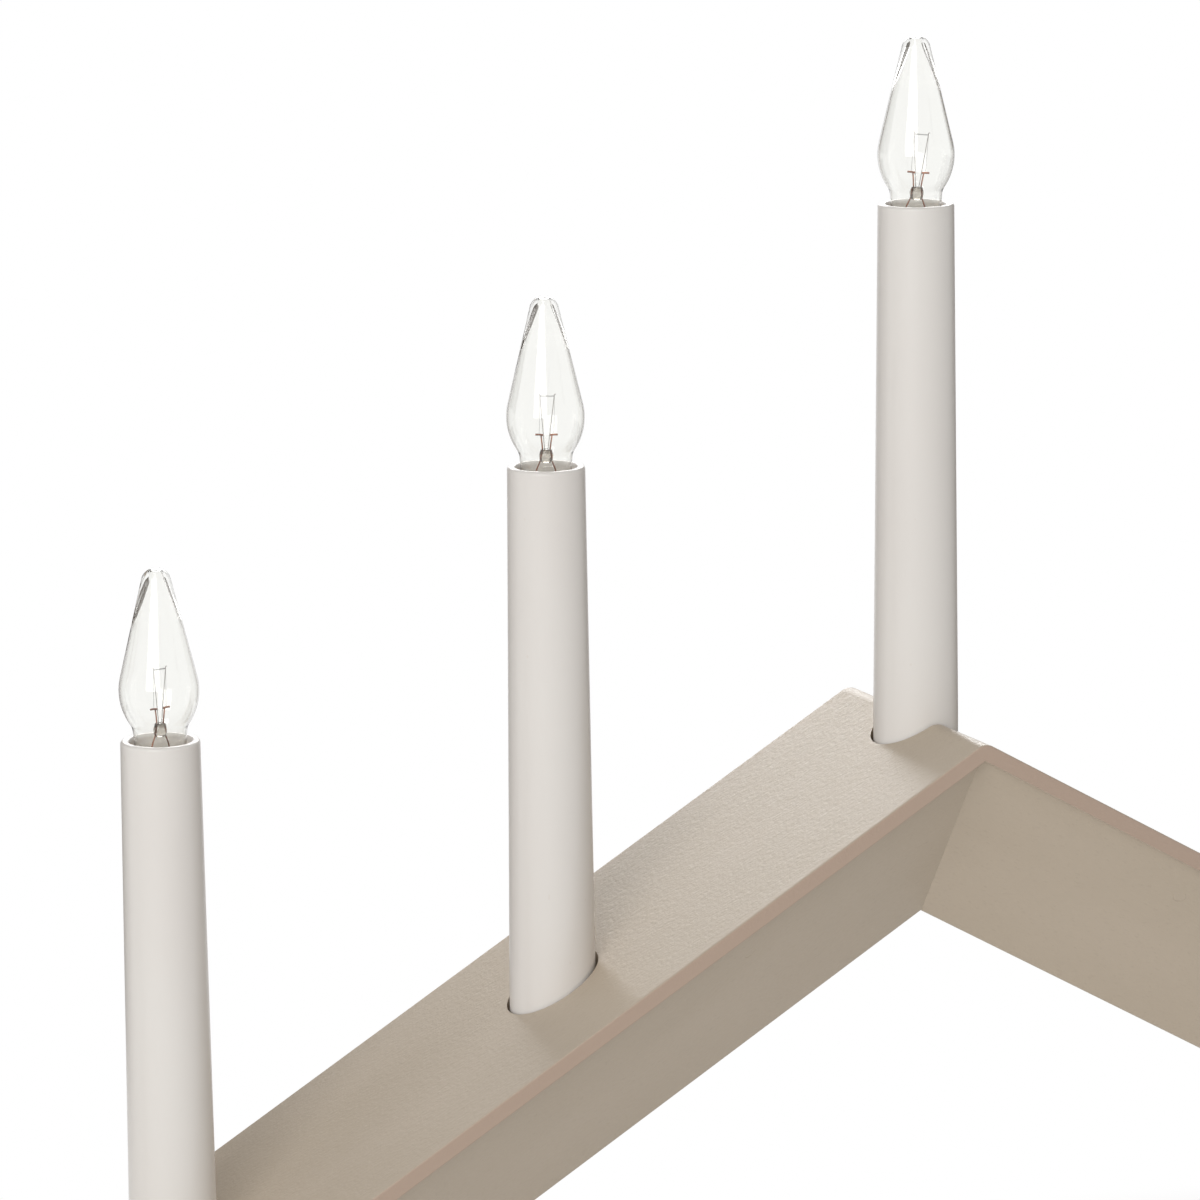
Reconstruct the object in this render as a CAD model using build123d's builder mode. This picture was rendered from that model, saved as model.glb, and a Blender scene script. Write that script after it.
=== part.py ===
from build123d import *
import os
from math import atan2, cos, radians, sin, tan

# Electric candle arch. Two hollow wooden arms slope down from a rounded ridge, and a row of
# electric candles stands upright through their top boards. X runs along the arch, Y from front
# to back and Z up. The origin is on the table, under the middle of the ridge. Millimetres.

# The row of candles
candles_per_arm = 3
candle_pitch = 85.0
end_margin = 45.0

# The arms: a top board over two slanted panels that meet in a narrow keel
arm_slope = radians(29.7)
board_width = 63.0
board_thickness = 3.5
ridge_radius = 3.5
edge_radius = 0.4
section_depth = 37.0
panel_thickness = 3.5
panel_setback = 2.4
keel_width = 5.2
keel_radius = 1.0
toe_height = 6.0

# Blocks glued into the hollow arms, and the felt under the feet
glue_line = 0.1
block_length = 30.0
block_gap = 8.0
seat_wall = 1.6
wire_channel = 8.6
pad_thickness = 2.0
pad_inset = 3.0
pad_nose = 6.0
pad_corner_radius = 2.0

# Brads that pin the panels to the apex block
brad_end_margin = 11.0
brad_cover = 0.6
brad_length = 8.5
brad_radius = 0.7
brad_head_radius = 1.4
brad_head_height = 1.0
brad_sink = 0.03
brad_play = 0.03

# Candle sleeves
sleeve_height = 109.0
sleeve_foot_radius = 9.0
sleeve_rim_wall = 1.8
sleeve_foot_wall = 2.2
sleeve_lip_radius = 0.7
board_hole_play = 0.6
seat_play = 0.1

# Lamp holders, with depths measured down from the sleeve's rim
holder_top = 3.5
holder_length = 20.5
holder_play = 0.1
holder_wall = 0.75
socket_floor = 2.5
ledge_width = 1.6
ledge_thickness = 1.5
contact_head_radius = 1.9
contact_head_height = 0.8
contact_shank_radius = 1.1
contact_play = 0.1

# Screw thread of the lamps, with the same run on the cap and in the shell
thread_pitch = 1.814
thread_height = 0.5
thread_half_width = 0.5
thread_crest_half_width = 0.22
thread_root_overlap = 0.1
thread_play = 0.15
thread_lead_in = 0.9
shell_wall = 0.38
shell_drop = 1.0
shell_play = 0.1

# Bulb cap and base
cap_top = 3.0
cap_length = 9.2
cap_core_radius = 4.22
cap_wall = 0.3
base_play = 0.1
base_inside = 1.2
insulator_drop = 0.7
solder_radius = 1.5
solder_height = 0.7
contact_gap = 0.1

# Bulb glass: a stem in the cap, a waist at the rim, a belly and a long cone with a round tip
glass_wall = 0.5
glass_stem_play = 0.12
glass_stem_depth = 6.5
glass_waist_low = (5.25, -1.2)
glass_waist_high = (5.5, 2.6)
glass_belly = (8.88, 8.06)
glass_length = 35.0
glass_tip_corner = 2.42
glass_tip_wall = 1.4
stem_bend = 0.7
waist_bend = 0.8
flare_bend = 3.0
belly_bend = 12.0
tip_bend = 2.9

# Filament mount inside the glass
bead_height = 2.0
bead_radius = 1.45
lead_in_radius = 0.22
lead_in_play = 0.13
lead_in_foot_height = -5.8
lead_in_bead = (0.9, 2.0)
lead_in_knee = (0.95, 6.35)
lead_in_end = (2.35, 6.45)
lead_in_bend = 0.5
filament_radius = 0.12
filament_clamp = (1.6, 6.4)
filament_hook = (1.5, 14.6)
filament_bend = 0.3
support_foot = (0.35, 3.0)

# Wiring in the arms
lead_radius = 0.8
lead_x = 1.3
lead_y = 1.2
lead_bend = 2.7
apex_lead_bend = 6.0
lead_end_gap = 0.2
wire_hole_radius = 3.25
wire_depth_above_keel = 4.45
tunnel_cover = 3.5

# Terminal block under the right top board, and the grommet in the right back panel, both set
# back from the outer candle
terminal_setback = 43.0
terminal_size = (17.0, 16.0, 10.0)
terminal_port_pitch = 8.0
terminal_port_radius = 1.2
terminal_port_depth = 5.5
terminal_screw_radius = 1.6
terminal_tail = 5.0
terminal_lead_run = 4.0
grommet_setback = 41.0
grommet_depth = 18.0
grommet_bore_radius = 2.9
grommet_neck_radius = 4.4
grommet_flange_radius = 6.0
grommet_flange = 1.2
grommet_flange_round = 0.5
grommet_play = 0.1

# What follows from those sizes
candle_xs = [candle_pitch * step for step in range(-candles_per_arm, candles_per_arm + 1)]
outer_candle = candle_pitch * candles_per_arm
half_length = outer_candle + end_margin
wood_floor = pad_thickness
ridge_height = wood_floor + toe_height + half_length * tan(arm_slope)
panel_top_half = board_width / 2 - panel_setback
panel_lean = atan2(panel_top_half - keel_width / 2, section_depth - board_thickness)
hollow_top_half = panel_top_half - panel_thickness / cos(panel_lean)
hollow_depth = board_thickness + hollow_top_half / tan(panel_lean)
block_bottom = hollow_depth - wire_channel
apex_block_reach = candle_pitch - block_length / 2 - block_gap
brad_x = apex_block_reach - brad_end_margin
brad_rise = brad_length * sin(panel_lean) + brad_radius * cos(panel_lean)
brad_depth = board_thickness + glue_line + brad_cover + brad_rise
wire_depth = hollow_depth - wire_depth_above_keel
board_hole_radius = sleeve_foot_radius + board_hole_play
seat_radius = sleeve_foot_radius + seat_play
seat_depth = hollow_depth - (seat_radius + seat_wall) / tan(panel_lean)
sleeve_embed = (seat_depth - seat_radius * sin(arm_slope)) / cos(arm_slope)
cap_bottom = cap_top + cap_length
cap_bore = cap_core_radius - cap_wall
stem_radius = cap_bore - glass_stem_play
lead_in_foot = (stem_radius - glass_wall - lead_in_play - lead_in_radius, lead_in_foot_height)
thread_turns = int((cap_length - thread_lead_in - thread_half_width) / thread_pitch)
thread_root = cap_core_radius + thread_height + thread_play
shell_radius = thread_root + shell_wall
holder_radius = shell_radius + shell_play + holder_wall
sleeve_bore = holder_radius + holder_play
sleeve_rim_radius = sleeve_bore + sleeve_rim_wall
sleeve_foot_bore = sleeve_foot_radius - sleeve_foot_wall
ledge_bore = sleeve_bore - ledge_width
solder_tip = cap_bottom + insulator_drop + solder_height
socket_bottom = solder_tip + contact_gap + contact_head_height
socket_depth = socket_bottom - holder_top
shell_height = socket_depth - shell_drop
holder_bottom = holder_top + holder_length
tunnel_height = wood_floor + tunnel_cover + wire_hole_radius
terminal_x = outer_candle - terminal_setback
grommet_x = outer_candle - grommet_setback


def board_top(x):
    """Height of the top boards' upper face."""
    return ridge_height - abs(x) * tan(arm_slope)


def arm_height(x, depth):
    """Height, at this x, of a line that runs this deep in an arm, square to its top face."""
    return board_top(x) - depth / cos(arm_slope)


def arm_x(height, depth):
    """How far from the ridge a line this deep in an arm comes down to this height."""
    return (ridge_height - depth / cos(arm_slope) - height) / tan(arm_slope)


def rim_height(x):
    return board_top(x) + sleeve_height


def panel_half(depth):
    """Distance of the panels' outer faces from the middle plane."""
    return panel_top_half - (depth - board_thickness) * tan(panel_lean)


def hollow_half(depth):
    """Distance of the panels' inner faces from the middle plane."""
    return (hollow_depth - depth) * tan(panel_lean)


def panel_plane(x, depth, side):
    """A plane on a panel's outer face, facing out. Side is -1 in front and 1 behind."""
    arm = 1 if x > 0 else -1
    outward = (-arm * sin(panel_lean) * sin(arm_slope), side * cos(panel_lean),
               -sin(panel_lean) * cos(arm_slope))
    downhill = (arm * cos(arm_slope), 0, -sin(arm_slope))
    origin = (x, side * panel_half(depth), arm_height(x, depth))
    return Plane(origin=origin, x_dir=downhill, z_dir=outward)


def write(piece, name):
    piece.part.label = name
    export_step(piece.part, f"parts/{name}.step")


os.makedirs("parts", exist_ok=True)
foot_inner_x = arm_x(wood_floor, section_depth)
tunnel_meet_x = arm_x(tunnel_height, wire_depth)
left_section = Plane(
    origin=(0, 0, ridge_height), x_dir=(0, 1, 0), z_dir=(-cos(arm_slope), 0, -sin(arm_slope)))


def arm_bar(outline, rounded=None):
    """A bar with this cross-section along the left arm, mitred at the ridge and cut level below."""
    with BuildPart() as bar:
        with BuildSketch(left_section.offset(-section_depth)):
            with BuildLine():
                Polyline(*outline, close=True)
            make_face()
            if rounded:
                fillet(vertices().sort_by_distance(rounded)[0], keel_radius)
        extrude(amount=half_length / cos(arm_slope) + 2 * section_depth)
        split(bisect_by=Plane.YZ, keep=Keep.BOTTOM)
        split(bisect_by=Plane.YZ.offset(-half_length), keep=Keep.TOP)
        split(bisect_by=Plane.XY.offset(wood_floor), keep=Keep.TOP)
    return bar.part


def filler(bottom, x_low, x_high):
    """Wood that fills the left arm's hollow down to this depth, between two upright cuts."""
    top = board_thickness + glue_line
    fit = glue_line / cos(panel_lean)
    top_half = hollow_half(top) - fit
    bottom_half = hollow_half(bottom) - fit
    outline = [(-top_half, top), (top_half, top), (bottom_half, bottom), (-bottom_half, bottom)]
    with BuildPart() as wood:
        add(arm_bar(outline))
        split(bisect_by=Plane.YZ.offset(x_high), keep=Keep.BOTTOM)
        split(bisect_by=Plane.YZ.offset(x_low), keep=Keep.TOP)
    return wood.part


def cut_seat(x, wire_bottom):
    """Cut the seat for a sleeve's foot into the current block, and its wire hole."""
    with Locations((x, 0, board_top(x) - sleeve_embed)):
        Cylinder(seat_radius, section_depth * 2, align=(Align.CENTER, Align.CENTER, Align.MIN),
                 mode=Mode.SUBTRACT)
    with Locations((x, 0, wire_bottom)):
        Cylinder(wire_hole_radius, board_top(x) - wire_bottom,
                 align=(Align.CENTER, Align.CENTER, Align.MIN), mode=Mode.SUBTRACT)


# Top boards: one chevron with a rounded ridge and upright holes, parted at the ridge
chevron_outline = [
    (0, ridge_height),
    (half_length, board_top(half_length)),
    (half_length, arm_height(half_length, board_thickness)),
    (0, arm_height(0, board_thickness)),
    (-half_length, arm_height(half_length, board_thickness)),
    (-half_length, board_top(half_length)),
]
with BuildPart() as top_boards:
    with BuildSketch(Plane.XZ):
        with BuildLine():
            Polyline(*chevron_outline, close=True)
        make_face()
    extrude(amount=board_width / 2, both=True)
    fillet(edges().filter_by(Axis.Y).sort_by(Axis.Z)[-1], ridge_radius)
    fillet(faces().filter_by(Axis.Y).edges(), edge_radius)
    with Locations(*[(x, 0, ridge_height) for x in candle_xs]):
        Hole(board_hole_radius)
    split(bisect_by=Plane.XY.offset(wood_floor), keep=Keep.TOP)

with BuildPart() as left_top_board:
    add(top_boards.part)
    split(bisect_by=Plane.YZ, keep=Keep.BOTTOM)
write(left_top_board, "left_top_board")

with BuildPart() as right_top_board:
    add(top_boards.part)
    split(bisect_by=Plane.YZ, keep=Keep.TOP)
write(right_top_board, "right_top_board")

# Front and back panels, with counterbored holes for the brads
panel_outline = [
    (-panel_top_half, board_thickness),
    (-hollow_top_half, board_thickness),
    (0, hollow_depth),
    (0, section_depth),
    (-keel_width / 2, section_depth),
]
with BuildPart() as left_front_panel:
    add(arm_bar(panel_outline, rounded=(-keel_width / 2, section_depth)))
    with Locations(panel_plane(-brad_x, brad_depth, -1)):
        CounterBoreHole(brad_radius + brad_play, brad_head_radius + brad_play,
                        brad_sink + brad_head_height + brad_play, brad_length)
write(left_front_panel, "left_front_panel")

with BuildPart() as right_front_panel:
    mirror(left_front_panel.part, about=Plane.YZ)
write(right_front_panel, "right_front_panel")

with BuildPart() as left_back_panel:
    mirror(left_front_panel.part, about=Plane.XZ)
write(left_back_panel, "left_back_panel")

grommet_plane = panel_plane(grommet_x, grommet_depth, 1)
with BuildPart() as right_back_panel:
    mirror(left_back_panel.part, about=Plane.YZ)
    with Locations(grommet_plane):
        Hole(grommet_neck_radius + grommet_play, 2 * panel_thickness)
write(right_back_panel, "right_back_panel")

# Brads, driven square into the panels
with BuildPart() as panel_brads:
    for brad_place in (-brad_x, brad_x):
        for brad_side in (-1, 1):
            with Locations(panel_plane(brad_place, brad_depth, brad_side).offset(-brad_sink)):
                Cylinder(brad_head_radius, brad_head_height,
                         align=(Align.CENTER, Align.CENTER, Align.MAX))
                Cylinder(brad_radius, brad_length - brad_sink,
                         align=(Align.CENTER, Align.CENTER, Align.MAX))
write(panel_brads, "panel_brads")

# Blocks inside the arms
with BuildPart() as apex_block:
    add(filler(block_bottom, -apex_block_reach, 0))
    mirror(about=Plane.YZ)
    cut_seat(0, wood_floor)
    for brad_place in (-brad_x, brad_x):
        for brad_side in (-1, 1):
            with Locations(panel_plane(brad_place, brad_depth, brad_side)):
                Hole(brad_radius + brad_play, brad_length + brad_play)
write(apex_block, "apex_block")

with BuildPart() as seat_blocks:
    for x in candle_xs[1:candles_per_arm]:
        add(filler(block_bottom, x - block_length / 2, x + block_length / 2))
        cut_seat(x, wood_floor)
    mirror(about=Plane.YZ)
write(seat_blocks, "seat_blocks")

foot_bottom = hollow_depth - glue_line / sin(panel_lean) - edge_radius
with BuildPart() as left_foot_block:
    add(filler(foot_bottom, -half_length, -foot_inner_x))
    cut_seat(-outer_candle, tunnel_height)
    with Locations((-outer_candle, 0, tunnel_height)):
        Cylinder(wire_hole_radius, outer_candle, rotation=(0, 90, 0),
                 align=(Align.CENTER, Align.CENTER, Align.MIN), mode=Mode.SUBTRACT)
        Sphere(wire_hole_radius, mode=Mode.SUBTRACT)
write(left_foot_block, "left_foot_block")

with BuildPart() as right_foot_block:
    mirror(left_foot_block.part, about=Plane.YZ)
write(right_foot_block, "right_foot_block")

# Felt pads, inset from the outline of the feet
pad_outer_x = half_length - pad_inset
pad_outer_half = panel_half((board_top(pad_outer_x) - wood_floor) * cos(arm_slope)) - pad_inset
pad_inner_x = pad_outer_x - (pad_outer_half - pad_nose / 2) / (sin(arm_slope) * tan(panel_lean))
with BuildPart() as foot_pads:
    with BuildSketch():
        with BuildLine():
            Polyline((pad_outer_x, -pad_outer_half), (pad_outer_x, pad_outer_half),
                     (pad_inner_x, pad_nose / 2), (pad_inner_x, -pad_nose / 2), close=True)
        make_face()
        fillet(vertices(), pad_corner_radius)
        mirror(about=Plane.YZ)
    extrude(amount=pad_thickness)
write(foot_pads, "foot_pads")

# Candle sleeves: tapered tubes with a round lip and a ledge that the lamp holder stands on
with BuildPart() as sleeve_form:
    with BuildSketch(Plane.XZ):
        with BuildLine():
            Polyline(
                (sleeve_bore, 0),
                (sleeve_rim_radius, 0),
                (sleeve_foot_radius, -sleeve_height),
                (sleeve_foot_radius, -sleeve_height - sleeve_embed),
                (sleeve_foot_bore, -sleeve_height - sleeve_embed),
                (sleeve_foot_bore, -holder_bottom - ledge_thickness),
                (ledge_bore, -holder_bottom - ledge_thickness),
                (ledge_bore, -holder_bottom),
                (sleeve_bore, -holder_bottom),
                close=True)
        make_face()
        fillet(vertices().group_by(Axis.Y)[-1], sleeve_lip_radius)
    revolve(axis=Axis.Z)

# Lamp holders: insulating bodies with a socket above and a wire chamber below
with BuildPart() as holder_form:
    with Locations((0, 0, -holder_bottom)):
        Cylinder(holder_radius, holder_length,
                 align=(Align.CENTER, Align.CENTER, Align.MIN))
        Cylinder(ledge_bore, holder_length - socket_depth - socket_floor,
                 align=(Align.CENTER, Align.CENTER, Align.MIN), mode=Mode.SUBTRACT)
    with Locations((0, 0, -socket_bottom)):
        Cylinder(shell_radius + shell_play, socket_depth,
                 align=(Align.CENTER, Align.CENTER, Align.MIN), mode=Mode.SUBTRACT)
        Hole(contact_shank_radius + contact_play)

# Centre contacts: rivets through the socket floors
with BuildPart() as contact_form:
    with Locations((0, 0, -socket_bottom)):
        Cylinder(contact_head_radius, contact_head_height,
                 align=(Align.CENTER, Align.CENTER, Align.MIN))
        Cylinder(contact_shank_radius, socket_floor,
                 align=(Align.CENTER, Align.CENTER, Align.MAX))

# Screw shells: tubes with a rolled thread inside, half a pitch from the cap's
thread_start = -cap_bottom + thread_lead_in
with BuildPart() as shell_form:
    with Locations((0, 0, -socket_bottom)):
        Cylinder(shell_radius, shell_height, align=(Align.CENTER, Align.CENTER, Align.MIN))
        Cylinder(thread_root, shell_height, align=(Align.CENTER, Align.CENTER, Align.MIN),
                 mode=Mode.SUBTRACT)
    with BuildLine() as shell_helix:
        Helix(thread_pitch, thread_turns * thread_pitch, thread_root,
              center=(0, 0, thread_start - thread_pitch / 2))
    with BuildSketch(Plane(shell_helix.line @ 0, x_dir=(1, 0, 0), z_dir=shell_helix.line % 0)):
        with BuildLine():
            Polyline((thread_root_overlap, -thread_half_width + thread_play),
                     (-thread_height, -thread_crest_half_width + thread_play / 2),
                     (-thread_height, thread_crest_half_width - thread_play / 2),
                     (thread_root_overlap, thread_half_width - thread_play), close=True)
        make_face()
    sweep(is_frenet=True)

# Bulb caps: thin shells with a rolled thread outside
with BuildPart() as cap_form:
    with Locations((0, 0, -cap_bottom)):
        Cylinder(cap_core_radius, cap_length, align=(Align.CENTER, Align.CENTER, Align.MIN))
    with BuildLine() as cap_helix:
        Helix(thread_pitch, thread_turns * thread_pitch, cap_core_radius, center=(0, 0, thread_start))
    with BuildSketch(Plane(cap_helix.line @ 0, x_dir=(1, 0, 0), z_dir=cap_helix.line % 0)):
        with BuildLine():
            Polyline((-thread_root_overlap, -thread_half_width),
                     (thread_height, -thread_crest_half_width),
                     (thread_height, thread_crest_half_width),
                     (-thread_root_overlap, thread_half_width), close=True)
        make_face()
    sweep(is_frenet=True)
    with Locations((0, 0, -cap_bottom)):
        Cylinder(cap_bore, cap_length, align=(Align.CENTER, Align.CENTER, Align.MIN),
                 mode=Mode.SUBTRACT)

# Bulb bases: the insulator in the cap's foot, with its soldered contact
insulator_bottom = -cap_bottom - insulator_drop
insulator_radius = cap_bore - base_play
with BuildPart() as base_form:
    with BuildSketch(Plane.XZ):
        with BuildLine():
            Polyline((0, -cap_bottom + base_inside), (insulator_radius, -cap_bottom + base_inside),
                     (insulator_radius, -cap_bottom), (2 * solder_radius, insulator_bottom),
                     (solder_radius, insulator_bottom), (solder_radius, -solder_tip),
                     (0, -solder_tip), close=True)
        make_face()
    revolve(axis=Axis.Z)

# Bulb glass: the outside turned solid, less the hollow
def glass_turning(wall, tip_wall):
    """The glass's outline moved in by its wall, turned about the candle's axis."""
    tip = glass_length - tip_wall
    with BuildPart() as turning:
        with BuildSketch(Plane.XZ):
            with BuildLine():
                FilletPolyline(
                    (stem_radius - wall, -glass_stem_depth),
                    (stem_radius - wall, -cap_top + stem_bend / 2),
                    (glass_waist_low[0] - wall, glass_waist_low[1]),
                    (glass_waist_high[0] - wall, glass_waist_high[1]),
                    (glass_belly[0] - wall, glass_belly[1]),
                    (glass_tip_corner - wall / 2, tip),
                    (0, tip),
                    radius=[stem_bend, waist_bend, flare_bend, belly_bend, tip_bend - wall])
                Polyline((0, tip), (0, -glass_stem_depth), (stem_radius - wall, -glass_stem_depth))
            make_face()
        revolve(axis=Axis.Z)
    return turning.part


with BuildPart() as glass_form:
    add(glass_turning(0, 0))
    add(glass_turning(glass_wall, glass_tip_wall), mode=Mode.SUBTRACT)

# Filament mounts: a glass bead, two lead-in wires, two supports and the filament
with BuildPart() as mount_form:
    with Locations((0, 0, bead_height)):
        Sphere(bead_radius, rotation=(0, 0, 90))
    for side in (-1, 1):
        with BuildLine(Plane.XZ) as lead_in:
            FilletPolyline(
                *[(side * point[0], point[1]) for point in
                  (lead_in_foot, lead_in_bead, lead_in_knee, lead_in_end)],
                radius=lead_in_bend)
        with BuildSketch(Plane(lead_in.line @ 0, z_dir=lead_in.line % 0)):
            Circle(lead_in_radius)
        sweep()
        with BuildLine(Plane.XZ) as support:
            Line((side * support_foot[0], support_foot[1]), (side * filament_hook[0], filament_hook[1]))
        with BuildSketch(Plane(support.line @ 0, z_dir=support.line % 0)):
            Circle(filament_radius)
        sweep()
    with BuildLine(Plane.XZ) as filament:
        FilletPolyline((-filament_clamp[0], filament_clamp[1]), (-filament_hook[0], filament_hook[1]),
                       filament_hook, filament_clamp, radius=filament_bend)
    with BuildSketch(Plane(filament.line @ 0, z_dir=filament.line % 0)):
        Circle(filament_radius)
    sweep()

# One of each for every candle, numbered from the left
candle_forms = {
    "candle_sleeve": sleeve_form,
    "lamp_holder": holder_form,
    "bulb_cap": cap_form,
    "bulb_base": base_form,
    "bulb_glass": glass_form,
    "bulb_mount": mount_form,
}
for number, x in enumerate(candle_xs, start=1):
    for form_name, form in candle_forms.items():
        with BuildPart() as candle_piece:
            with Locations((x, 0, rim_height(x))):
                add(form.part)
        write(candle_piece, f"{form_name}_{number}")

rim_places = [(x, 0, rim_height(x)) for x in candle_xs]
with BuildPart() as screw_shells:
    with Locations(*rim_places):
        add(shell_form.part)
write(screw_shells, "screw_shells")

with BuildPart() as centre_contacts:
    with Locations(*rim_places):
        add(contact_form.part)
write(centre_contacts, "centre_contacts")


# Wiring: each lead leaves its holder, drops down the sleeve and runs along the keel
def lead_end(x):
    return rim_height(x) - socket_bottom - socket_floor - lead_end_gap


def lead(points, bends):
    with BuildPart() as wire:
        with BuildLine() as route:
            FilletPolyline(*points, radius=bends)
        with BuildSketch(Plane(route.line @ 0, z_dir=route.line % 0)):
            Circle(lead_radius)
        sweep()
    return wire.part


def down_sleeve(x, lead_place, y):
    """The points of a lead from an outer candle's holder, down to its tunnel and out of it."""
    arm = 1 if x > 0 else -1
    return [(lead_place, y, lead_end(x)), (lead_place, y, tunnel_height),
            (arm * tunnel_meet_x, y, tunnel_height)]


def link_route(low, high):
    """The points of a lead on the left arm, from one candle up to the next."""
    low_x = low + lead_x
    high_x = high - lead_x
    if low == -outer_candle:
        route = down_sleeve(low, low_x, -lead_y)
    else:
        route = [(low_x, -lead_y, lead_end(low)), (low_x, -lead_y, arm_height(low_x, wire_depth))]
    return route + [(high_x, -lead_y, arm_height(high_x, wire_depth)), (high_x, -lead_y, lead_end(high))]


terminal_plane = Plane(
    origin=(terminal_x, 0, arm_height(terminal_x, board_thickness + glue_line)),
    x_dir=(cos(arm_slope), 0, -sin(arm_slope)), z_dir=(-sin(arm_slope), 0, -cos(arm_slope)))
terminal_end = terminal_size[0] / 2


def terminal_point(along):
    return terminal_plane.from_local_coords((along, -terminal_port_pitch / 2, terminal_port_depth))


feed_drop_x = foot_inner_x - wire_hole_radius - lead_bend
feed_route = [
    terminal_point(terminal_end - terminal_tail),
    terminal_point(terminal_end + terminal_lead_run),
    (feed_drop_x, lead_y + lead_radius / 2, arm_height(feed_drop_x, wire_depth - 2 * lead_radius)),
] + down_sleeve(outer_candle, outer_candle - lead_x, lead_y)[::-1]
with BuildPart() as series_leads:
    for low, high in zip(candle_xs[:candles_per_arm], candle_xs[1:]):
        add(lead(link_route(low, high), lead_bend))
    mirror(about=Plane.YZ)
    add(lead(feed_route, lead_bend))
write(series_leads, "series_leads")

seat_side_x = outer_candle - candle_pitch + block_length / 2 + lead_bend
return_route = [
    terminal_point(-terminal_end + terminal_tail),
    terminal_point(-terminal_end - terminal_lead_run),
    (seat_side_x, lead_y, arm_height(seat_side_x, wire_depth)),
    (0, lead_y, arm_height(0, wire_depth)),
] + down_sleeve(-outer_candle, -outer_candle + lead_x, lead_y)[::-1]
return_bends = [lead_bend, lead_bend, apex_lead_bend, lead_bend, lead_bend]
with BuildPart() as return_lead:
    add(lead(return_route, return_bends))
write(return_lead, "return_lead")

# Terminal block: two through ports with a screw well over each
with BuildPart() as terminal_block:
    with Locations(terminal_plane):
        Box(*terminal_size, align=(Align.CENTER, Align.CENTER, Align.MIN))
        with Locations((0, -terminal_port_pitch / 2, terminal_port_depth),
                       (0, terminal_port_pitch / 2, terminal_port_depth)):
            Cylinder(terminal_port_radius, terminal_size[0], rotation=(0, 90, 0), mode=Mode.SUBTRACT)
            Cylinder(terminal_screw_radius, terminal_size[2],
                     align=(Align.CENTER, Align.CENTER, Align.MIN), mode=Mode.SUBTRACT)
write(terminal_block, "terminal_block")

# Cable grommet: a bush with a flange on each face of the panel
with BuildPart() as cable_grommet:
    with Locations(grommet_plane):
        Cylinder(grommet_flange_radius, grommet_flange, align=(Align.CENTER, Align.CENTER, Align.MIN))
        Cylinder(grommet_neck_radius, panel_thickness, align=(Align.CENTER, Align.CENTER, Align.MAX))
    with Locations(grommet_plane.offset(-panel_thickness)):
        Cylinder(grommet_flange_radius, grommet_flange, align=(Align.CENTER, Align.CENTER, Align.MAX))
    flange_rims = edges().filter_by(lambda edge: edge.geom_type == GeomType.CIRCLE
                                    and edge.radius > grommet_neck_radius + grommet_play)
    fillet(flange_rims, grommet_flange_round)
    with Locations(grommet_plane):
        Hole(grommet_bore_radius)
write(cable_grommet, "cable_grommet")
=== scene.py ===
"""Finishes, light and camera for the candle arch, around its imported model. Metres, Z up."""
import math

import bmesh
import bpy
from mathutils import Matrix, Vector, noise


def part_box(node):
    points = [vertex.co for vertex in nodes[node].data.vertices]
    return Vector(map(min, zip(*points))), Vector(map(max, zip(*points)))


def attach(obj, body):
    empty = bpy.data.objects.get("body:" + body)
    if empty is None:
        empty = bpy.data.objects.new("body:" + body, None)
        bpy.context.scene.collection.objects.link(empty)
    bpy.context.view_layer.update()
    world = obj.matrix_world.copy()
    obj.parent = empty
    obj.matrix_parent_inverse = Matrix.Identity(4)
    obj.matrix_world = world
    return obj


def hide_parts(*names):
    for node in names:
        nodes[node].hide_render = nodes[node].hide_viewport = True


MM = 0.001

# Camera: where it stands round the arch, how far off, and what it looks at
camera_azimuth = math.radians(24.307)
camera_elevation = math.radians(11.535)
camera_roll = math.radians(-0.623)
camera_distance = 1.175656
camera_target = Vector((-0.073244, 0.0, 0.210532))
camera_lens = 171.2
camera_sensor = 36.0

# Dark cards behind the arch: what shows them, their sides, as angles from the line of sight, and
# their lower and upper edges, as how far off and how high they are. Those that show through glass
# are so high that only the tips of the bulbs bend a view from above up to them
cards = {
    "left_card": ("gloss", (-80.0, -23.0), (0.5, 0.005), (1.0, 0.6)),
    "right_card": ("gloss", (22.0, 60.0), (0.5, 0.005), (1.0, 0.8)),
    "upper_card": ("gloss", (-80.0, -36.0), (1.0, 0.6), (1.0, 1.2)),
    "left_tip_card": ("glass", (-80.0, -20.0), (1.0, 0.24), (1.0, 0.9)),
    "right_tip_card": ("glass", (30.0, 52.0), (1.0, 0.24), (1.0, 0.9)),
}

# The arms
arm_slope = math.radians(29.7)
edge_round = 0.4 * MM

# Bulb glass, from its stem in the cap up to the tip, as (radius, height above the sleeve's rim)
glass_outline = [
    (3.80, -6.5), (3.80, -2.65), (5.25, -1.2), (5.5, 2.6), (8.88, 8.06), (2.42, 35.0), (0.0, 35.0)]
glass_bends = [0.7, 0.8, 3.0, 12.0, 2.9]
glass_wall = 0.25
glass_shoulder = (4.9, 23.8)
glass_cavity_tip = (1.0, 34.2)
cavity_bends = [0.7, 0.8, 3.0, 12.0, 20.0, 0.7]

# Felt pads
felt_voxel = 0.6 * MM
felt_wear = 3
felt_lump = 3.0 * MM
felt_fibre = 0.9 * MM
felt_depth = 0.12 * MM

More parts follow.
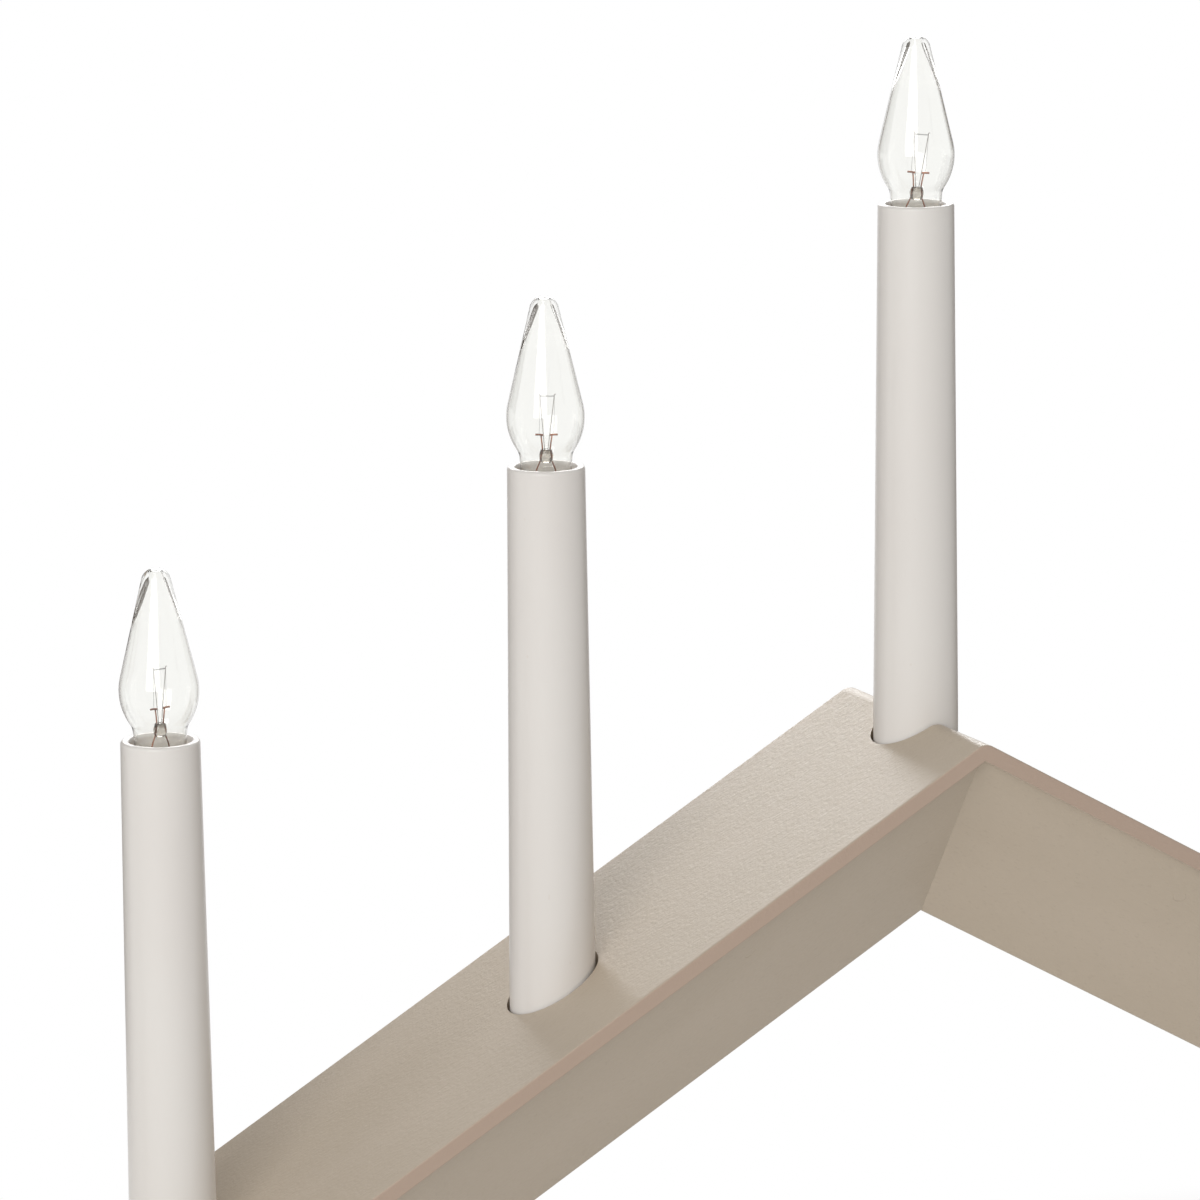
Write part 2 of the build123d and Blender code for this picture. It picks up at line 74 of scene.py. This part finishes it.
# Filament mount, in the plane of its wires, and how far it is turned and leans in each bulb
bead_height = 2.1
bead_outline = [(0.0, -1.4), (1.2, -1.4), (1.5, 0.1), (1.1, 1.4), (0.0, 1.4)]
bead_bends = [0.5, 1.0, 0.4]
bead_flatness = 0.8
lead_in_points = [(2.95, -5.8), (2.3, -1.6), (1.1, 1.2), (0.75, 2.4), (0.8, 4.0), (1.15, 6.45)]
lead_in_radius = 0.15
crossbar_points = [(0.7, 6.35), (1.3, 6.5), (2.3, 6.45)]
crossbar_radius = 0.2
support_points = [(0.3, 3.0), (1.45, 14.2), (1.5, 14.9), (1.8, 14.75)]
support_radius = 0.075
filament_hook = (1.5, 14.35)
filament_clamp = (1.5, 6.45)
filament_radius = 0.03
coil_radius = 0.11
coil_turns = 18
steps_per_turn = 12
mount_turns = [35.0, -15.0, 18.0, 24.307, -28.0, 20.0, 50.0]
mount_leans = [-1.5, 1.0, 1.5, 4.5, -2.0, 1.0, -1.0]

# Floor and light
floor_radius = 8.0
floor_narrowing = (0.45, 1.0, 1.0)
floor_fade = (0.12, 0.2)
floor_colour = (0.86, 0.855, 0.845, 1.0)
card_colour = (0.16, 0.138, 0.118, 1.0)
ambient_colour = (1.0, 0.99, 0.975, 1.0)
ambient_strength = 0.41

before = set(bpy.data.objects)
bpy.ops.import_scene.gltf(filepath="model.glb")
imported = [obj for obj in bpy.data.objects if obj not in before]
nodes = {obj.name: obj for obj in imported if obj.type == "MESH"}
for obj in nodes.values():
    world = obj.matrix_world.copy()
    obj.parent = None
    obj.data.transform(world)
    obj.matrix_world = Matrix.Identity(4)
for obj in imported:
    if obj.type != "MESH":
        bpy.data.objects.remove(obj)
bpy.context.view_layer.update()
board_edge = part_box("left_top_board")[1].y
felt_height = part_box("foot_pads")[1].z
candle_count = sum(name.startswith("candle_sleeve_") for name in nodes)


# Shader helpers

def srgb(red, green, blue):
    """A colour given as it looks on a screen, 0 to 255, as a shader takes it."""
    def linear(value):
        share = value / 255
        return share / 12.92 if share <= 0.04045 else ((share + 0.055) / 1.055) ** 2.4
    return (linear(red), linear(green), linear(blue), 1.0)


class Finish:
    """A material and its nodes, with short calls to add and join them."""

    def __init__(self, name, **surface):
        self.material = bpy.data.materials.new(name)
        self.material.use_nodes = True
        self.tree = self.material.node_tree
        self.surface = self.tree.nodes["Principled BSDF"]
        self.place = self.add("ShaderNodeTexCoord").outputs["Object"]
        for socket, value in surface.items():
            self.surface.inputs[socket.replace("_", " ")].default_value = value

    def add(self, kind, **settings):
        """A new shader node of this kind."""
        node = self.tree.nodes.new(kind)
        for name, value in settings.items():
            setattr(node, name, value)
        return node

    def join(self, source, target):
        self.tree.links.new(source, target)

    def mapped(self, scale, turn=(0, 0, 0)):
        """The place on the object, turned and then stretched."""
        turned = self.add("ShaderNodeMapping")
        turned.inputs["Rotation"].default_value = turn
        stretched = self.add("ShaderNodeMapping")
        stretched.inputs["Scale"].default_value = scale
        self.join(self.place, turned.inputs["Vector"])
        self.join(turned.outputs["Vector"], stretched.inputs["Vector"])
        return stretched.outputs["Vector"]

    def noise(self, vector, scale=1.0, detail=2.0):
        """Cloudy noise, from 0 to 1, over these places."""
        node = self.add("ShaderNodeTexNoise")
        node.inputs["Scale"].default_value = scale
        node.inputs["Detail"].default_value = detail
        self.join(vector, node.inputs["Vector"])
        return node.outputs["Fac"]

    def math(self, operation, first, second=None):
        """A sum or the like of numbers and sockets."""
        node = self.add("ShaderNodeMath", operation=operation)
        for value, socket in ((first, node.inputs[0]), (second, node.inputs[1])):
            if isinstance(value, (int, float)):
                socket.default_value = value
            elif value is not None:
                self.join(value, socket)
        return node.outputs[0]

    def spread(self, value, low, high, out_low=0.0, out_high=1.0):
        """The value, with its stretch from low to high moved smoothly to another stretch."""
        node = self.add("ShaderNodeMapRange", interpolation_type="SMOOTHSTEP")
        self.join(value, node.inputs["Value"])
        limits = {"From Min": low, "From Max": high, "To Min": out_low, "To Max": out_high}
        for socket, number in limits.items():
            node.inputs[socket].default_value = number
        return node.outputs["Result"]

    def blend(self, share, first, second):
        """Two colours or colour sockets, mixed by this share of the second."""
        node = self.add("ShaderNodeMix", data_type="RGBA")
        colour_inputs = [socket for socket in node.inputs if socket.type == "RGBA"]
        self.join(share, node.inputs["Factor"])
        for value, socket in zip((first, second), colour_inputs):
            if isinstance(value, tuple):
                socket.default_value = value
            else:
                self.join(value, socket)
        return next(socket for socket in node.outputs if socket.type == "RGBA")

    def bump(self, height, depth, strength=1.0, under=None):
        """A relief of this depth, over another one if there is one."""
        node = self.add("ShaderNodeBump")
        node.inputs["Distance"].default_value = depth
        node.inputs["Strength"].default_value = strength
        self.join(height, node.inputs["Height"])
        if under:
            self.join(under, node.inputs["Normal"])
        return node.outputs["Normal"]

    def set(self, socket, source):
        """Let a source drive a socket of the surface."""
        self.join(source, self.surface.inputs[socket])


# Materials

def painted_wood(name, arm):
    """Satin greige paint over wood whose grain runs along the arm, with painted shade on the boards' edge
    faces. Arm is -1 left and 1 right.
    """
    paint = Finish(name)
    along = (0, -arm * arm_slope, 0)
    fibres = paint.noise(paint.mapped((260, 900, 900), along), detail=3)
    pores = paint.noise(paint.mapped((700, 1700, 1700), along), detail=2)
    stipple = paint.noise(paint.place, scale=1300, detail=3)
    tone = paint.noise(paint.mapped((9, 26, 26), along), detail=3)
    colour = paint.blend(paint.spread(tone, 0.3, 0.7), srgb(186, 172, 153), srgb(193, 179, 161))
    colour = paint.blend(paint.spread(pores, 0.58, 0.76, 0, 0.25), colour, srgb(168, 153, 134))
    apart = paint.add("ShaderNodeSeparateXYZ")
    paint.join(paint.place, apart.inputs["Vector"])
    across = paint.math("ABSOLUTE", apart.outputs["Y"])
    # Painted shade, partly: the boards' front and back edge faces get a darker, pinker tone. The pink is
    # the edges' own colour; the darkening stands in for the shade of faces turned away from the lights.
    edge_tint_and_shade = paint.spread(across, board_edge - edge_round / 2, board_edge - edge_round / 8)
    colour = paint.blend(edge_tint_and_shade, colour, srgb(180, 158, 141))
    paint.set("Base Color", colour)
    paint.set("Roughness", paint.spread(stipple, 0.3, 0.7, 0.34, 0.44))
    relief = paint.bump(fibres, 0.07 * MM, 0.6)
    relief = paint.bump(pores, 0.08 * MM, 0.7, relief)
    paint.set("Normal", paint.bump(stipple, 0.07 * MM, 0.7, relief))
    return paint.material


def bare_wood(name):
    """Planed softwood, with its grain along the arch."""
    wood = Finish(name, Roughness=0.68)
    rings = wood.noise(wood.mapped((6, 90, 90)), detail=4)
    fibres = wood.noise(wood.mapped((60, 1400, 1400)), detail=3)
    colour = wood.blend(wood.spread(rings, 0.35, 0.65), srgb(222, 190, 146), srgb(196, 155, 106))
    colour = wood.blend(wood.spread(fibres, 0.5, 0.8, 0, 0.4), colour, srgb(165, 122, 78))
    wood.set("Base Color", colour)
    wood.set("Normal", wood.bump(fibres, 0.08 * MM))
    return wood.material


def sleeve_plastic(name):
    """Off-white satin plastic with faint draw lines up the tube and a few scuffs."""
    plastic = Finish(name)
    lines = plastic.noise(plastic.mapped((900, 900, 9)), detail=2)
    grain = plastic.noise(plastic.place, scale=900, detail=3)
    tone = plastic.noise(plastic.mapped((30, 30, 12)), detail=2)
    scuffs = plastic.noise(plastic.mapped((700, 700, 420)), detail=1)
    colour = plastic.blend(plastic.spread(tone, 0.3, 0.7), srgb(226, 221, 216), srgb(230, 226, 221))
    colour = plastic.blend(plastic.spread(scuffs, 0.79, 0.84, 0, 0.15), colour, srgb(205, 190, 172))
    plastic.set("Base Color", colour)
    plastic.set("Roughness", plastic.spread(grain, 0.3, 0.7, 0.29, 0.31))
    plastic.set("Normal", plastic.bump(lines, 0.02 * MM, 0.15))
    return plastic.material


def clear_glass(name, tint, waves):
    """Blown glass, a little uneven, with painted shade on its outline where the eye looks along its wall.
    """
    glass = Finish(name, Roughness=0.0, IOR=1.5, Transmission_Weight=1.0)
    slant = glass.add("ShaderNodeLayerWeight").outputs["Facing"]
    # Painted shade: towards the outline the glass colour goes dark grey-brown. This stands in for the dark
    # surroundings that the edges of the glass bend into view.
    glass.set("Base Color", glass.blend(glass.spread(slant, 0.6, 1.0), tint, srgb(150, 142, 133)))
    ripple = glass.noise(glass.mapped((260, 260, 70)), detail=1)
    glass.set("Normal", glass.bump(ripple, waves))
    return glass.material


def metal(name, dark, light, roughness, grain_scale):
    """Drawn or rolled metal, with tarnish in patches and fine lines."""
    sheet = Finish(name, Metallic=1.0)
    tarnish = sheet.noise(sheet.place, scale=grain_scale / 6, detail=3)
    lines = sheet.noise(sheet.mapped((grain_scale, grain_scale, grain_scale * 4)), detail=2)
    sheet.set("Base Color", sheet.blend(sheet.spread(tarnish, 0.3, 0.7), dark, light))
    sheet.set("Roughness", sheet.spread(tarnish, 0.3, 0.7, roughness + 0.12, roughness))
    sheet.set("Normal", sheet.bump(lines, 0.01 * MM, 0.4))
    return sheet.material


def moulded(name, dark, light, roughness, grain_scale):
    """A moulded insulator or rubber, with a fine matt grain."""
    body = Finish(name)
    grain = body.noise(body.place, scale=grain_scale, detail=3)
    patches = body.noise(body.place, scale=grain_scale / 12, detail=2)
    body.set("Base Color", body.blend(body.spread(patches, 0.3, 0.7), dark, light))
    body.set("Roughness", body.spread(grain, 0.3, 0.7, roughness - 0.08, roughness + 0.08))
    body.set("Normal", body.bump(grain, 0.02 * MM, 0.6))
    return body.material


def lamp_base(name):
    """Black glass insulator, with a tinned contact on its lowest quarter."""
    base = Finish(name)
    grain = base.noise(base.place, scale=1800, detail=3)
    apart = base.add("ShaderNodeSeparateXYZ")
    base.join(base.add("ShaderNodeTexCoord").outputs["Generated"], apart.inputs["Vector"])
    tinned = base.spread(apart.outputs["Z"], 0.28, 0.26)
    black = base.blend(grain, srgb(18, 18, 19), srgb(40, 38, 37))
    base.set("Base Color", base.blend(tinned, black, srgb(176, 174, 168)))
    base.set("Metallic", tinned)
    base.set("Roughness", base.spread(grain, 0.3, 0.7, 0.22, 0.4))
    base.set("Normal", base.bump(grain, 0.02 * MM, 0.5))
    return base.material


def felt(name):
    """Pressed grey-brown felt, with its fibres lying every way."""
    pad = Finish(name, Roughness=0.95, Sheen_Weight=0.4, Sheen_Roughness=0.5)
    fibres = pad.noise(pad.mapped((900, 2600, 1200)), detail=4)
    crossing = pad.noise(pad.mapped((2600, 900, 1200)), detail=4)
    tangle = pad.math("MAXIMUM", fibres, crossing)
    pad.set("Base Color", pad.blend(pad.spread(tangle, 0.4, 0.75), srgb(82, 76, 70), srgb(138, 130, 121)))
    pad.set("Normal", pad.bump(tangle, 0.25 * MM))
    return pad.material


finishes = {
    "bare_wood": bare_wood("planed_wood"),
    "felt": felt("pressed_felt"),
    "sleeve_plastic": sleeve_plastic("satin_plastic"),
    "holder_plastic": moulded("ivory_moulding", srgb(216, 209, 196), srgb(226, 220, 208), 0.45, 900),
    "brass": metal("rolled_brass", srgb(178, 138, 66), srgb(214, 178, 104), 0.24, 700),
    "clear_glass": clear_glass("blown_glass", srgb(251, 251, 249), 0.02 * MM),
    "mount_wire": metal("drawn_wire", srgb(128, 122, 117), srgb(168, 162, 156), 0.35, 2500),
    "base_black": lamp_base("base_glass"),
    "lead_insulation": moulded("lead_sheath", srgb(112, 72, 50), srgb(126, 84, 60), 0.4, 600),
    "grommet_rubber": moulded("black_rubber", srgb(24, 24, 25), srgb(38, 37, 37), 0.6, 1500),
}
paint_by_arm = {
    "left": painted_wood("greige_paint_left", -1),
    "right": painted_wood("greige_paint_right", 1),
}
bead_glass = clear_glass("bead_glass", srgb(192, 186, 177), 0.06 * MM)
copper_wire = metal("copper_wire", srgb(112, 74, 58), srgb(164, 116, 92), 0.35, 2500)
tungsten = metal("tungsten", srgb(92, 89, 88), srgb(130, 126, 124), 0.4, 4000)

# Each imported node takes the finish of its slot, and paint follows the arm that the node is on
for node_name, node in nodes.items():
    slot_name = node.material_slots[0].name.split(".")[0]
    if slot_name == "painted_wood":
        arm_name = "right" if node_name.startswith("right") else "left"
        node.material_slots[0].material = paint_by_arm[arm_name]
    else:
        node.material_slots[0].material = finishes[slot_name]


# Meshes and wires

def rounded(points, bends, steps=12):
    """An open outline in metres, from points in millimetres, with its inner corners rounded."""
    corners = [Vector(point) for point in points]
    outline = [corners[0]]
    for before, corner, after, bend in zip(corners, corners[1:], corners[2:], bends):
        back = (before - corner).normalized()
        ahead = (after - corner).normalized()
        half_angle = back.angle(ahead) / 2
        centre = corner + (back + ahead).normalized() * bend / math.sin(half_angle)
        reach = bend / math.tan(half_angle)
        start = corner + back * reach - centre
        end = corner + ahead * reach - centre
        outline += [centre + start.slerp(end, step / steps) * bend for step in range(steps + 1)]
    outline.append(corners[-1])
    return [point * MM for point in outline]


def cavity(outline):
    """The inside of the glass: its outline moved in by the wall, and drawn in towards the tip."""
    inner = [(radius - glass_wall, height) for radius, height in outline[:-2]]
    return inner + [glass_shoulder, glass_cavity_tip, (0.0, glass_cavity_tip[1])]


def turned(name, outlines, segments=160):
    """A mesh turned about the Z axis from outlines that are joined end to end into one loop."""
    loop = [point for outline in outlines for point in outline]
    form = bmesh.new()
    rings = []
    for radius, height in loop:
        count = segments if radius > 0 else 1
        turns = [2 * math.pi * step / segments for step in range(count)]
        rings.append([form.verts.new((radius * math.cos(t), radius * math.sin(t), height)) for t in turns])
    for ring, following in zip(rings, rings[1:] + rings[:1]):
        if len(ring) == len(following) == 1:
            continue
        for step in range(segments):
            corners = [ring[step % len(ring)], ring[(step + 1) % len(ring)],
                       following[(step + 1) % len(following)], following[step % len(following)]]
            form.faces.new(list(dict.fromkeys(corners)))
    bmesh.ops.recalc_face_normals(form, faces=form.faces)
    for face in form.faces:
        face.smooth = True
    mesh = bpy.data.meshes.new(name)
    form.to_mesh(mesh)
    form.free()
    return mesh


def wires(name, radius, routes, smooth=True):
    """Round wires along routes of points in millimetres, as one mesh."""
    curve = bpy.data.curves.new(name, "CURVE")
    curve.dimensions = "3D"
    curve.bevel_depth = radius * MM
    curve.bevel_resolution = 4
    curve.use_fill_caps = True
    for route in routes:
        spline = curve.splines.new("NURBS" if smooth else "POLY")
        spline.points.add(len(route) - 1)
        for point, place in zip(spline.points, route):
            point.co = (*[value * MM for value in place], 1.0)
        if smooth:
            spline.order_u = 3
            spline.use_endpoint_u = True
    holder = bpy.data.objects.new(name, curve)
    mesh = bpy.data.meshes.new_from_object(holder)
    bpy.data.objects.remove(holder)
    mesh.shade_smooth()
    return mesh


def flat(points, side):
    """Points of the mount's plane, on its left or right, as places in space."""
    return [(side * across, 0.0, height) for across, height in points]


def coil(start, end):
    """A helix of coiled filament from one hook to the other."""
    route = []
    for step in range(coil_turns * steps_per_turn + 1):
        share = step / (coil_turns * steps_per_turn)
        turn = 2 * math.pi * step / steps_per_turn
        across = start[0] + (end[0] - start[0]) * share
        route.append((across, coil_radius * math.cos(turn), start[1] + coil_radius * math.sin(turn)))
    return route


def place(name, data, material, at, body, slot, replaced, turn=0.0, lean=0.0):
    """Put a piece at a place, turned and leaning, riding on a body and standing for a node."""
    piece = bpy.data.objects.new(name, data)
    bpy.context.scene.collection.objects.link(piece)
    piece.location = at
    piece.rotation_euler = (0, math.radians(lean), -math.radians(turn))
    if not data.materials:
        data.materials.append(material)
    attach(piece, body)
    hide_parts(replaced)
    return piece


# Bulbs: clear glass round a bead, two lead-in wires, two supports and the filament
glass_mesh = turned("glass", [
    rounded(glass_outline, glass_bends),
    rounded(cavity(glass_outline), cavity_bends)[::-1]])
bead_mesh = turned("bead", [rounded(bead_outline, bead_bends)], segments=48)
bead_lift = Matrix.Translation((0, 0, bead_height * MM))
bead_mesh.transform(bead_lift @ Matrix.Diagonal((1, bead_flatness, 1, 1)))
lead_in_mesh = wires("lead_ins", lead_in_radius, [flat(lead_in_points, side) for side in (-1, 1)])
crossbar_mesh = wires("crossbars", crossbar_radius, [flat(crossbar_points, side) for side in (-1, 1)])
support_mesh = wires("supports", support_radius, [flat(support_points, side) for side in (-1, 1)])
hook_left = (-filament_hook[0], filament_hook[1])
filament_routes = [coil(hook_left, filament_hook)]
filament_routes += [flat([filament_clamp, filament_hook], side) for side in (-1, 1)]
filament_mesh = wires("filament", filament_radius, filament_routes, smooth=False)

for number in range(1, candle_count + 1):
    sleeve_low, sleeve_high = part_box(f"candle_sleeve_{number}")
    rim = Vector(((sleeve_low.x + sleeve_high.x) / 2, 0.0, sleeve_high.z))
    body = f"bulb_{number}"
    mount = f"bulb_mount_{number}"
    envelope = place(f"bulb_envelope_{number}", glass_mesh, finishes["clear_glass"], rim, body,
                     "clear_glass", f"bulb_glass_{number}")
    envelope.visible_shadow = False
    envelope.visible_diffuse = False
    mount_pieces = {
        "bead": (bead_mesh, bead_glass, "clear_glass"),
        "lead_ins": (lead_in_mesh, copper_wire, "mount_wire"),
        "crossbars": (crossbar_mesh, copper_wire, "mount_wire"),
        "supports": (support_mesh, finishes["mount_wire"], "mount_wire"),
        "filament": (filament_mesh, tungsten, "mount_wire"),
    }
    for piece_name, (mesh, material, slot) in mount_pieces.items():
        place(f"bulb_{piece_name}_{number}", mesh, material, rim, body, slot, mount,
              turn=mount_turns[number - 1], lean=mount_leans[number - 1])


# Felt pads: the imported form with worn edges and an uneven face, still flat on the table

def felt_mesh():
    """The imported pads, remeshed, worn smooth and made lumpy, between the table and the arms."""
    pads = bpy.data.objects.new("pads", nodes["foot_pads"].data.copy())
    bpy.context.scene.collection.objects.link(pads)
    voxels = pads.modifiers.new("voxels", "REMESH")
    voxels.mode = "VOXEL"
    voxels.voxel_size = felt_voxel
    worn = pads.modifiers.new("worn", "SMOOTH")
    worn.iterations = felt_wear
    mesh = bpy.data.meshes.new_from_object(pads.evaluated_get(bpy.context.evaluated_depsgraph_get()))
    bpy.data.objects.remove(pads)
    for vertex in mesh.vertices:
        lump = noise.noise(vertex.co / felt_lump) + noise.noise(vertex.co / felt_fibre) / 2
        vertex.co += vertex.normal * lump * felt_depth
        vertex.co.z = min(max(vertex.co.z, 0.0), felt_height)
    mesh.materials.clear()
    mesh.shade_smooth()
    return mesh


felt_pads = place("felt_pads", felt_mesh(), finishes["felt"], (0, 0, 0), "frame", "felt", "foot_pads")


# Floor, light and camera

def seen_directly(tree):
    """1 for rays from the camera, and for those that metal and glass send on."""
    path = tree.nodes.new("ShaderNodeLightPath")
    first = tree.nodes.new("ShaderNodeMath")
    both = tree.nodes.new("ShaderNodeMath")
    first.operation = both.operation = "MAXIMUM"
    tree.links.new(path.outputs["Is Camera Ray"], first.inputs[0])
    tree.links.new(path.outputs["Is Glossy Ray"], first.inputs[1])
    tree.links.new(first.outputs[0], both.inputs[0])
    tree.links.new(path.outputs["Is Transmission Ray"], both.inputs[1])
    return both.outputs[0]


def floor_material():
    """Pale matt floor that goes over to white away from the arch, and isn't seen from below."""
    pale = Finish("pale_floor", Base_Color=floor_colour, Roughness=0.9)
    distance = pale.add("ShaderNodeVectorMath", operation="LENGTH")
    pale.join(pale.mapped(floor_narrowing), distance.inputs[0])
    far = pale.spread(distance.outputs["Value"], *floor_fade)
    white = pale.add("ShaderNodeEmission")
    fading = pale.add("ShaderNodeMixShader")
    clear = pale.add("ShaderNodeBsdfTransparent")
    one_sided = pale.add("ShaderNodeMixShader")
    output = pale.tree.nodes["Material Output"]
    pale.join(pale.math("MULTIPLY", far, seen_directly(pale.tree)), fading.inputs["Fac"])
    pale.join(pale.surface.outputs["BSDF"], fading.inputs[1])
    pale.join(white.outputs["Emission"], fading.inputs[2])
    pale.join(pale.add("ShaderNodeNewGeometry").outputs["Backfacing"], one_sided.inputs["Fac"])
    pale.join(fading.outputs["Shader"], one_sided.inputs[1])
    pale.join(clear.outputs["BSDF"], one_sided.inputs[2])
    pale.join(one_sided.outputs["Shader"], output.inputs["Surface"])
    return pale.material


def lamp(name, at, aim, width, height, power):
    """A white softbox at a place, aimed at another."""
    light = bpy.data.lights.new(name, "AREA")
    light.shape = "RECTANGLE"
    light.size, light.size_y = width, height
    light.energy = power
    holder = bpy.data.objects.new(name, light)
    bpy.context.scene.collection.objects.link(holder)
    holder.location = at
    holder.rotation_euler = (Vector(aim) - Vector(at)).to_track_quat("-Z", "Y").to_euler()


def dark_card(name, material, shown_in, angles, lower, upper):
    """A card that shows only in gloss or through glass, where it draws their outlines."""
    corners = []
    for angle, edges in zip(angles, ((lower, upper), (upper, lower))):
        heading = camera_azimuth + math.radians(angle)
        for distance, height in edges:
            across = camera_target.x + distance * math.sin(heading)
            corners.append((across, distance * math.cos(heading), height))
    mesh = bpy.data.meshes.new(name)
    mesh.from_pydata(corners, [], [(0, 1, 2, 3)])
    mesh.materials.append(material)
    card = bpy.data.objects.new(name, mesh)
    bpy.context.scene.collection.objects.link(card)
    card.visible_camera = card.visible_diffuse = card.visible_shadow = False
    card.visible_glossy = shown_in == "gloss"
    card.visible_transmission = shown_in == "glass"


def studio_world():
    """Soft light all round, which the camera, metal and glass see as plain white."""
    world = bpy.data.worlds.new("studio")
    world.use_nodes = True
    tree = world.node_tree
    ambient = tree.nodes["Background"]
    ambient.inputs["Color"].default_value = ambient_colour
    ambient.inputs["Strength"].default_value = ambient_strength
    backdrop = tree.nodes.new("ShaderNodeBackground")
    backdrop.inputs["Color"].default_value = (1.0, 1.0, 1.0, 1.0)
    choice = tree.nodes.new("ShaderNodeMixShader")
    tree.links.new(seen_directly(tree), choice.inputs["Fac"])
    tree.links.new(ambient.outputs["Background"], choice.inputs[1])
    tree.links.new(backdrop.outputs["Background"], choice.inputs[2])
    tree.links.new(choice.outputs["Shader"], tree.nodes["World Output"].inputs["Surface"])
    return world


def aimed_camera():
    """The camera, off from its target along the line of sight and rolled a little."""
    ahead = Vector((math.sin(camera_azimuth) * math.cos(camera_elevation),
                    math.cos(camera_azimuth) * math.cos(camera_elevation),
                    -math.sin(camera_elevation)))
    level = Vector((math.cos(camera_azimuth), -math.sin(camera_azimuth), 0.0))
    upward = level.cross(ahead)
    right = level * math.cos(camera_roll) + upward * math.sin(camera_roll)
    up = upward * math.cos(camera_roll) - level * math.sin(camera_roll)
    lens = bpy.data.cameras.new("camera")
    lens.lens = camera_lens
    lens.sensor_width = camera_sensor
    lens.clip_start = 0.05
    camera = bpy.data.objects.new("camera", lens)
    bpy.context.scene.collection.objects.link(camera)
    facing = Matrix((right, up, -ahead)).transposed().to_4x4()
    camera.matrix_world = Matrix.Translation(camera_target - ahead * camera_distance) @ facing
    return camera


bpy.ops.mesh.primitive_circle_add(vertices=64, radius=floor_radius, fill_type="NGON")
floor = bpy.context.object
floor.name = "floor"
floor.data.materials.append(floor_material())

lamp("back_softbox", at=(0.45, 1.15, 0.78), aim=(0, 0, 0.2), width=0.9, height=0.6, power=7.5)
lamp("left_softbox", at=(-1.1, -1.2, 0.8), aim=(-0.1, 0, 0.2), width=1.2, height=1.2, power=14.5)

card_black = Finish("card_black", Base_Color=card_colour, Roughness=1.0).material
for card_name, card_place in cards.items():
    dark_card(card_name, card_black, *card_place)

bpy.context.scene.world = studio_world()
bpy.context.scene.camera = aimed_camera()
bpy.context.scene.view_settings.view_transform = "Standard"
